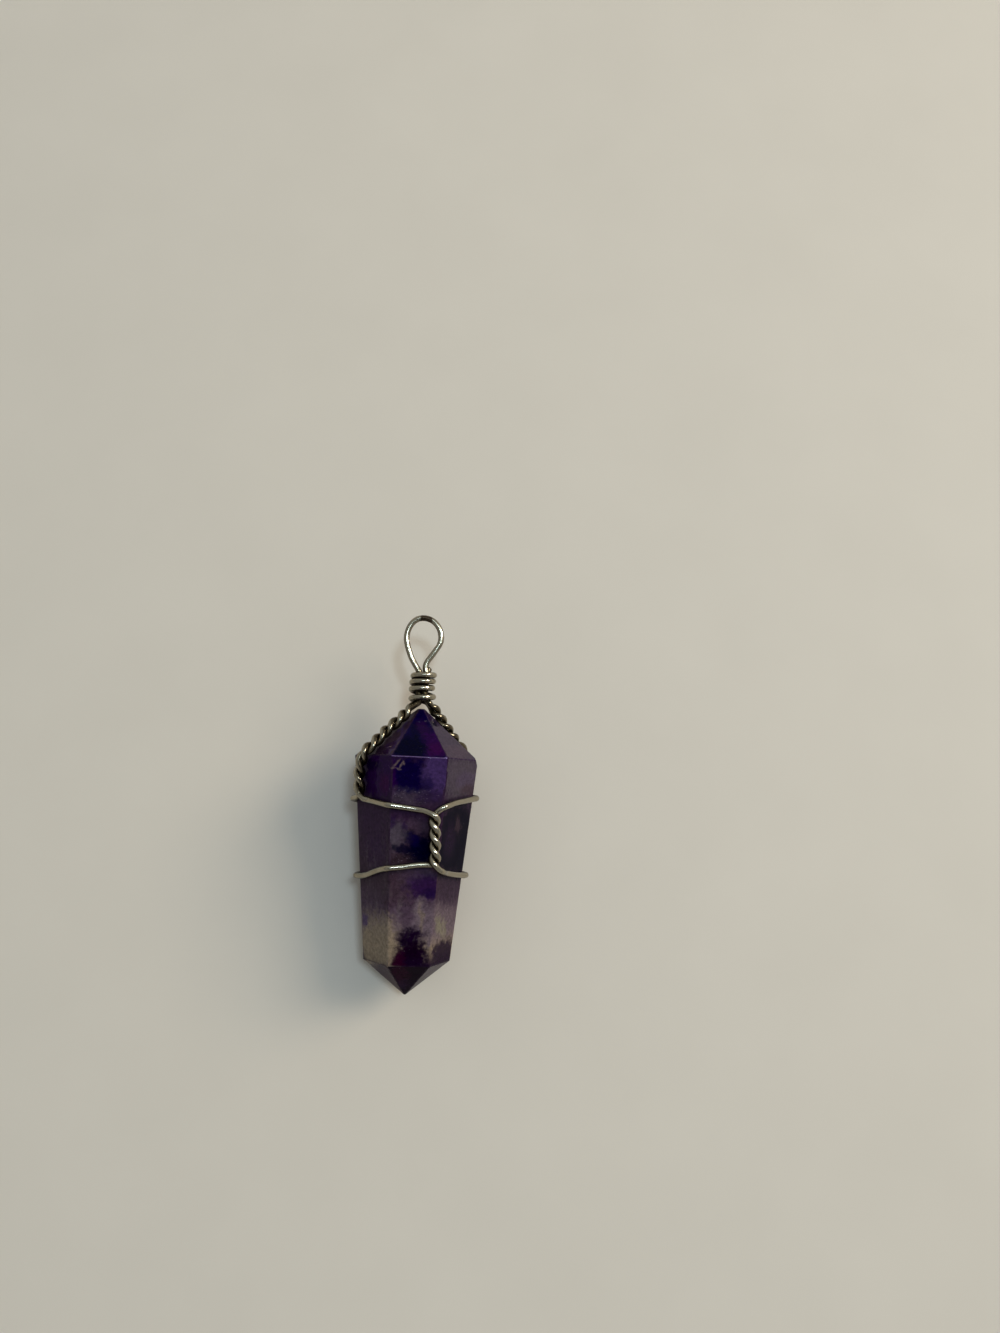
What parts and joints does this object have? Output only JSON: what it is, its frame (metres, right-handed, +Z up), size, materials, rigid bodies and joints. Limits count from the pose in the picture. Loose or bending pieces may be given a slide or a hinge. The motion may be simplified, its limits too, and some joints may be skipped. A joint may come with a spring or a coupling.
{
  "type": "wire-wrapped crystal pendant",
  "caption": "Faceted purple crystal point in a cage of twisted silver-toned wire, with a coiled neck and a hanging loop, lying on its back.",
  "frame": {"origin": "on the surface it lies on, under the centre of its bounding box", "axes": "+Z up off the surface, +Y along the stone towards the hanging loop, +X to the right as seen from above with the loop at the top"},
  "size_m": [0.0174, 0.0508, 0.017],
  "materials": {
    "amethyst": "polished, dark violet with clouded and brownish zones",
    "wire": "silver-toned, tarnished dark in the recesses"
  },
  "bodies": {
    "root": {"crystal": "amethyst", "loop_wire": "wire", "coil_wire": "wire"}
  },
  "joints": []
}
